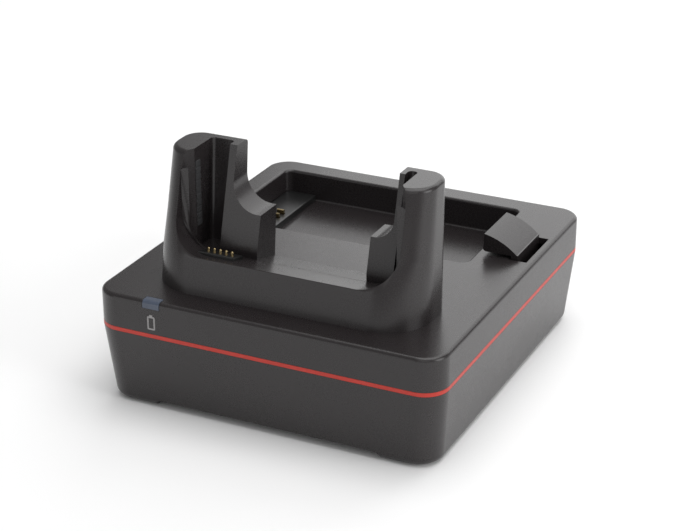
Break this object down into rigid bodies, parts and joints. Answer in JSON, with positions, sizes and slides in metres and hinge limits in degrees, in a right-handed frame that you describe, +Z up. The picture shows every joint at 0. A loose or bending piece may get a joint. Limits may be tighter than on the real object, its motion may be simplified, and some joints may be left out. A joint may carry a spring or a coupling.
{
  "type": "charging dock",
  "caption": "Desk charging dock with an open leaning cup for a handheld computer, a spare battery bay with a sprung latch, and a coloured band round the base.",
  "frame": {"origin": "on the desk under the middle of the base's outline", "axes": "+Z up, -Y towards the user, +X to the user's right"},
  "size_m": [0.13, 0.14, 0.0885],
  "materials": {
    "shell": "satin",
    "red_trim": "satin",
    "pad_rubber": "matt",
    "foot_rubber": "matt",
    "black_plastic": "satin",
    "contact_metal": "polished",
    "steel": "satin",
    "circuit_board": "satin",
    "ribbon": "satin",
    "window": "gloss",
    "lamp": "gloss",
    "dark_parts": "satin"
  },
  "bodies": {
    "dock": {"upper_housing": "shell", "lower_housing": "shell", "trim_band": "red_trim", "device_cup": "shell", "cup_grip_pads": "pad_rubber", "dock_connector": "black_plastic", "dock_pin_barrels": "contact_metal", "dock_pin_springs": "steel", "dock_board": "circuit_board", "ribbon_sockets": "black_plastic", "ribbon_cable": "ribbon", "contact_block": "black_plastic", "blade_springs": "steel", "contact_board": "circuit_board", "contact_board_screws": "steel", "contact_header": "black_plastic", "latch_pin": "steel", "latch_spring": "steel", "light_pipe": "window", "status_lamps": "lamp", "main_board": "circuit_board", "board_screws": "steel", "board_parts": "dark_parts", "power_jack": "black_plastic", "usb_port": "steel", "rubber_feet": "foot_rubber", "housing_screws": "steel", "cup_screws": "steel"},
    "latch": {"battery_latch": "shell"},
    "pins": {"dock_pins": "contact_metal"},
    "blades": {"battery_blades": "contact_metal"}
  },
  "joints": [
    {"name": "latch_hinge", "type": "hinge", "parent": "dock", "child": "latch", "pos_m": [0.0565, 0.027, 0.012], "axis": [0, 1, 0], "range_deg": [0, 5.5], "stiffness_Nm_per_rad": 1, "deforming": ["latch_spring"]},
    {"name": "pin_slide", "type": "slide", "parent": "dock", "child": "pins", "axis": [0, 0.2588, 0.9659], "range_m": [-0.0012, 0], "stiffness_N_per_m": 3000, "deforming": ["dock_pin_springs"]},
    {"name": "blade_slide", "type": "slide", "parent": "dock", "child": "blades", "axis": [0, 0, 1], "range_m": [-0.0012, 0], "stiffness_N_per_m": 2500, "deforming": ["blade_springs"]}
  ]
}
